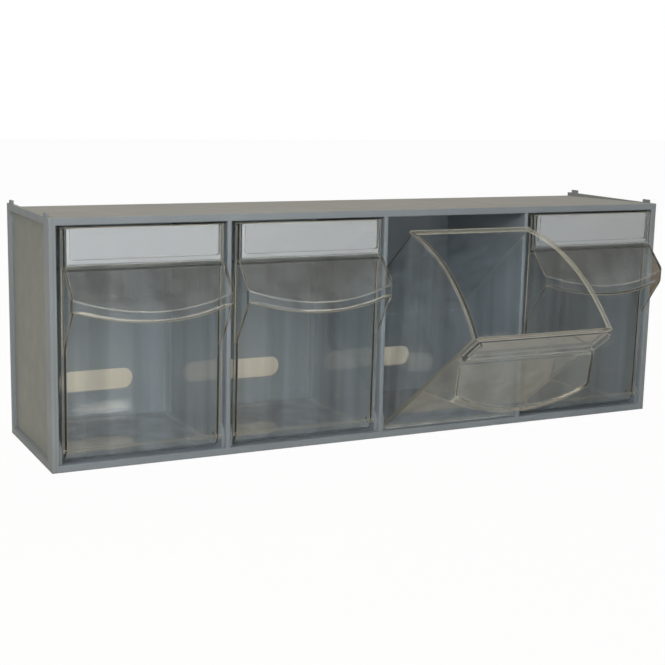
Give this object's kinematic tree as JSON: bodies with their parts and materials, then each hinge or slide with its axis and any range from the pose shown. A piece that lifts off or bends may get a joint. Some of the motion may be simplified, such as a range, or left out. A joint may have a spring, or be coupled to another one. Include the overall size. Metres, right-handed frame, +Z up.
{
  "type": "compartment bin",
  "caption": "Moulded grey housing with clear tip-out bins side by side, each with a curved rim, a label holder and a sloping handle, shown with a bin tipped open.",
  "frame": {"origin": "centre of the housing's underside, halfway between its sides and between its front and back faces", "axes": "+X along the front towards the right side seen from the front, +Y from the front to the back, +Z up"},
  "size_m": [0.6, 0.2838, 0.209],
  "materials": {
    "housing_plastic": "satin grey moulded plastic",
    "bin_clear": "clear moulded plastic, slightly smoky",
    "label_paper": "plain pale card",
    "cover_clear": "clear moulded plastic"
  },
  "bodies": {
    "housing": {"housing": "housing_plastic"},
    "bin_1_body": {"bin_1": "bin_clear", "label_card_1": "label_paper", "label_cover_1": "cover_clear"},
    "bin_2_body": {"bin_2": "bin_clear", "label_card_2": "label_paper", "label_cover_2": "cover_clear"},
    "bin_3_body": {"bin_3": "bin_clear", "label_card_3": "label_paper", "label_cover_3": "cover_clear"},
    "bin_4_body": {"bin_4": "bin_clear", "label_card_4": "label_paper", "label_cover_4": "cover_clear"}
  },
  "joints": [
    {"name": "bin_1_tilt", "type": "hinge", "parent": "housing", "child": "bin_1_body", "pos_m": [-0.222, -0.0573, 0.0159], "axis": [1, 0, 0], "range_deg": [-1, 53]},
    {"name": "bin_2_tilt", "type": "hinge", "parent": "housing", "child": "bin_2_body", "pos_m": [-0.074, -0.0573, 0.0159], "axis": [1, 0, 0], "range_deg": [-1, 53]},
    {"name": "bin_3_tilt", "type": "hinge", "parent": "housing", "child": "bin_3_body", "pos_m": [0.074, -0.0573, 0.0159], "axis": [1, 0, 0], "range_deg": [-54, 0]},
    {"name": "bin_4_tilt", "type": "hinge", "parent": "housing", "child": "bin_4_body", "pos_m": [0.222, -0.0573, 0.0159], "axis": [1, 0, 0], "range_deg": [-1, 53]}
  ]
}
